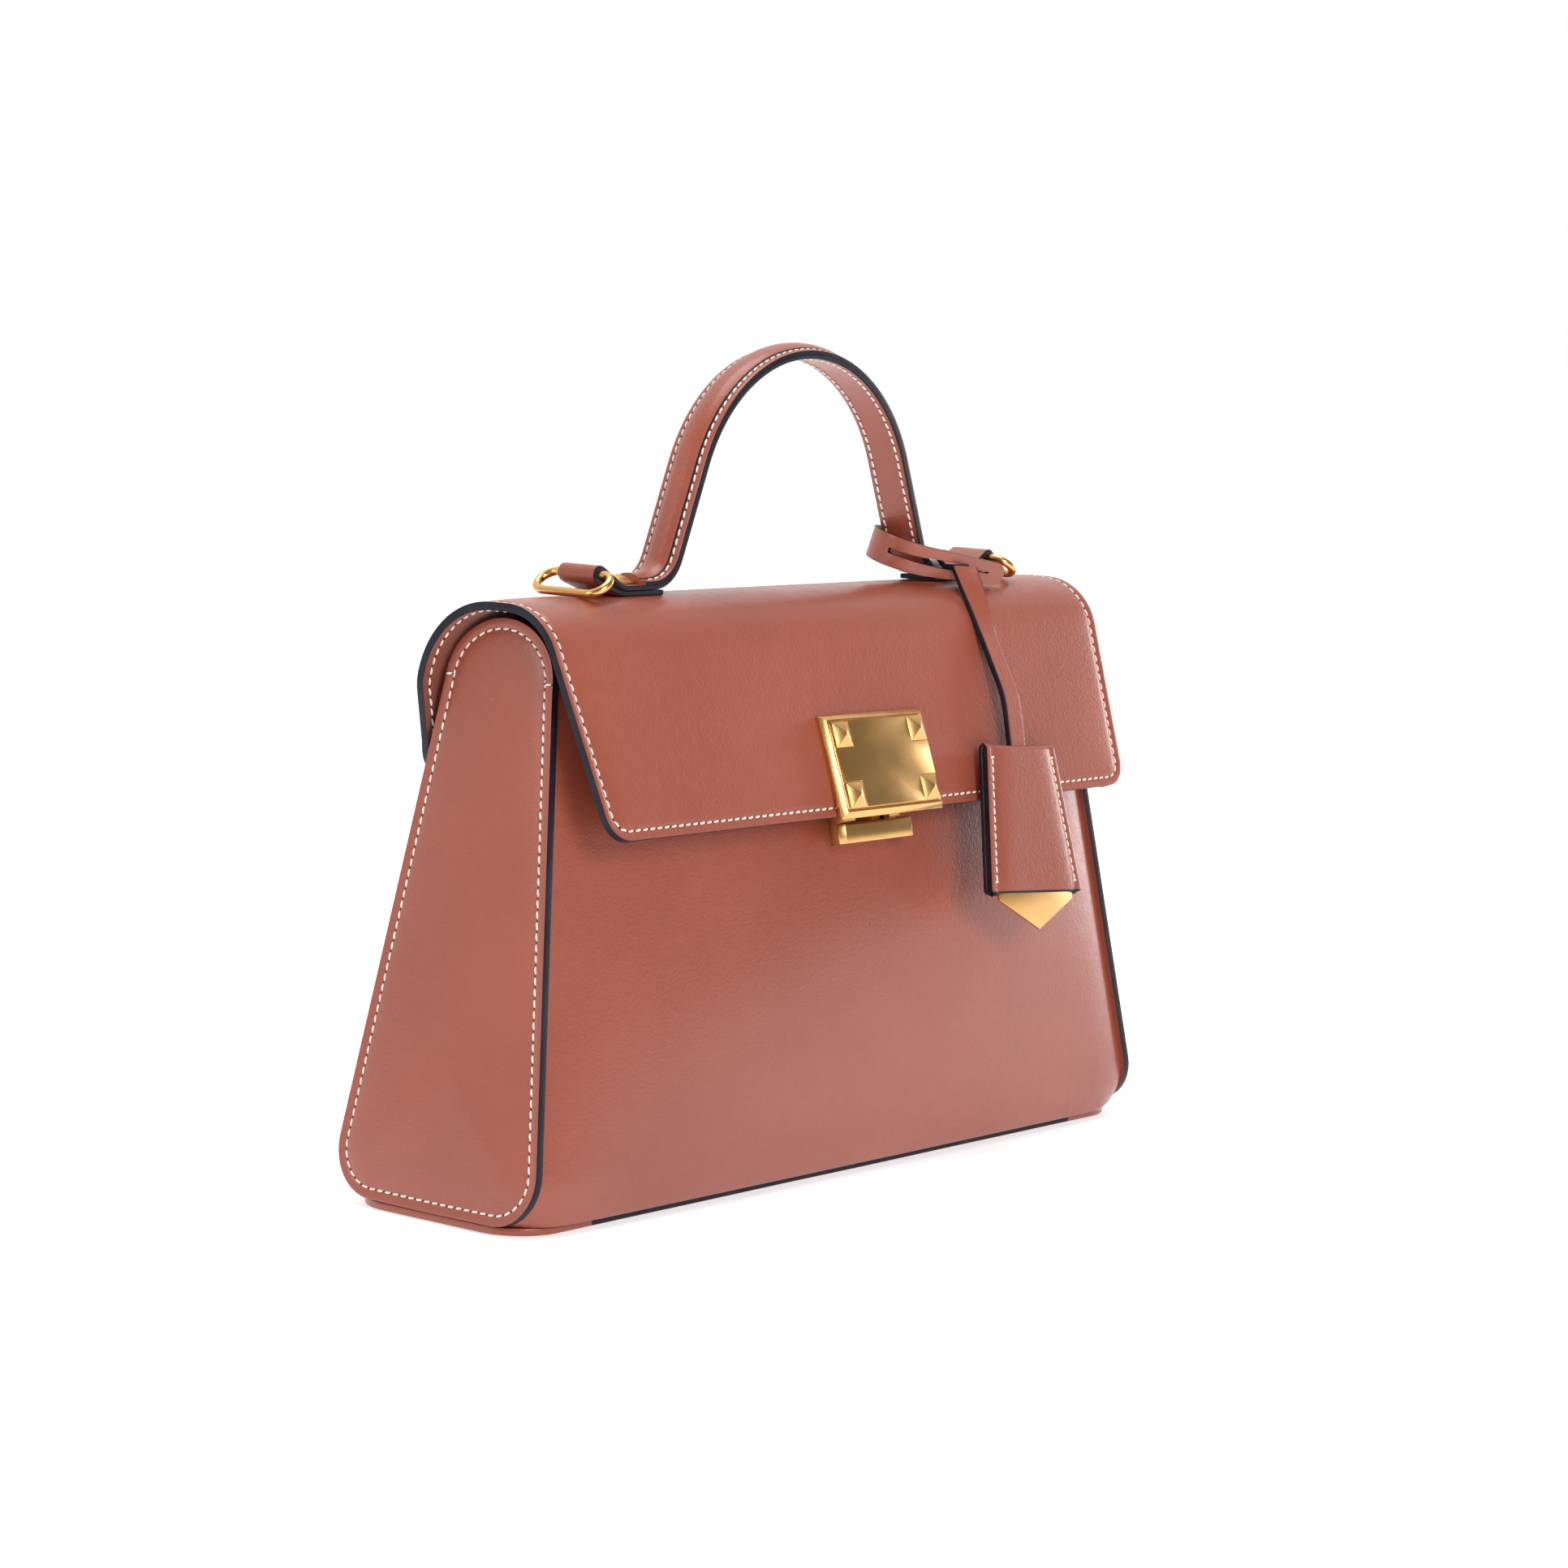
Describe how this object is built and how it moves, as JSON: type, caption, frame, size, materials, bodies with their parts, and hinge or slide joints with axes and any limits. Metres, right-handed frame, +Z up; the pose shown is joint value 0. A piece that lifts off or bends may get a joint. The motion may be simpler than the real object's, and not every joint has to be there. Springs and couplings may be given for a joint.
{
  "type": "handbag",
  "caption": "structured leather handbag, trapezoid body, rounded flap with a press lock, one arched top handle, strap rings and a hanging key bell",
  "frame": {"origin": "centre of the base plate, on the surface the bag stands on", "axes": "+X along the width toward the key bell side, -Y to the front with the flap lock, +Z up"},
  "size_m": [0.3, 0.1026, 0.2542],
  "materials": {
    "tan_leather": "satin, fine grain, blue-black painted edges, cream stitching",
    "lining_leather": "satin",
    "filler_board": "matt",
    "gold_metal": "satin, pale gold",
    "steel": "plain"
  },
  "bodies": {
    "bag": {"front_panel": "tan_leather", "back_panel": "tan_leather", "left_gusset": "tan_leather", "right_gusset": "tan_leather", "base_plate": "tan_leather", "base_board": "filler_board", "front_lining": "lining_leather", "back_lining": "lining_leather", "left_gusset_lining": "lining_leather", "right_gusset_lining": "lining_leather", "base_lining": "lining_leather", "slip_pocket": "lining_leather", "flap_seam": "tan_leather", "lock_case": "gold_metal", "lock_spring": "steel", "lock_clamp": "steel", "case_screws": "steel"},
    "lock_tab": {"lock_tab": "gold_metal"},
    "flap": {"flap_leather": "tan_leather", "flap_board": "filler_board", "flap_lining": "lining_leather", "lock_frame": "gold_metal", "lock_cover": "gold_metal", "lock_studs": "gold_metal", "lock_foot_plate": "gold_metal", "lock_screws": "steel", "handle_cover": "tan_leather", "handle_core": "filler_board", "handle_strap": "tan_leather", "handle_studs": "gold_metal", "handle_washers": "steel", "hitch_loop": "tan_leather"},
    "left_ring": {"left_ring": "gold_metal"},
    "right_ring": {"right_ring": "gold_metal"},
    "charm": {"charm_strap": "tan_leather", "key_plate": "gold_metal", "key_rivet": "gold_metal"},
    "bell": {"bell": "tan_leather"}
  },
  "joints": [
    {"name": "flap_hinge", "type": "hinge", "parent": "bag", "child": "flap", "pos_m": [0, 0.02898, 0.13491], "axis": [-1, 0, 0], "range_deg": [0, 110]},
    {"name": "tab_press", "type": "slide", "parent": "bag", "child": "lock_tab", "axis": [0, 0.9757, -0.219], "range_m": [0, 0.0015], "stiffness_N_per_m": 800, "springref_m": -0.001},
    {"name": "left_ring_swing", "type": "hinge", "parent": "flap", "child": "left_ring", "pos_m": [-0.0955, -0.0034, 0.1864], "axis": [0, 1, 0], "range_deg": [0, 150]},
    {"name": "right_ring_swing", "type": "hinge", "parent": "flap", "child": "right_ring", "pos_m": [0.0955, -0.0034, 0.1864], "axis": [0, -1, 0], "range_deg": [0, 150]},
    {"name": "charm_swing", "type": "hinge", "parent": "flap", "child": "charm", "pos_m": [0.07, -0.01952, 0.1846], "axis": [-0.9976, 0, 0.0698], "range_deg": [0, 70]},
    {"name": "bell_slide", "type": "slide", "parent": "charm", "child": "bell", "axis": [0.0677, 0.2419, 0.9679], "range_m": [0, 0.014]}
  ]
}
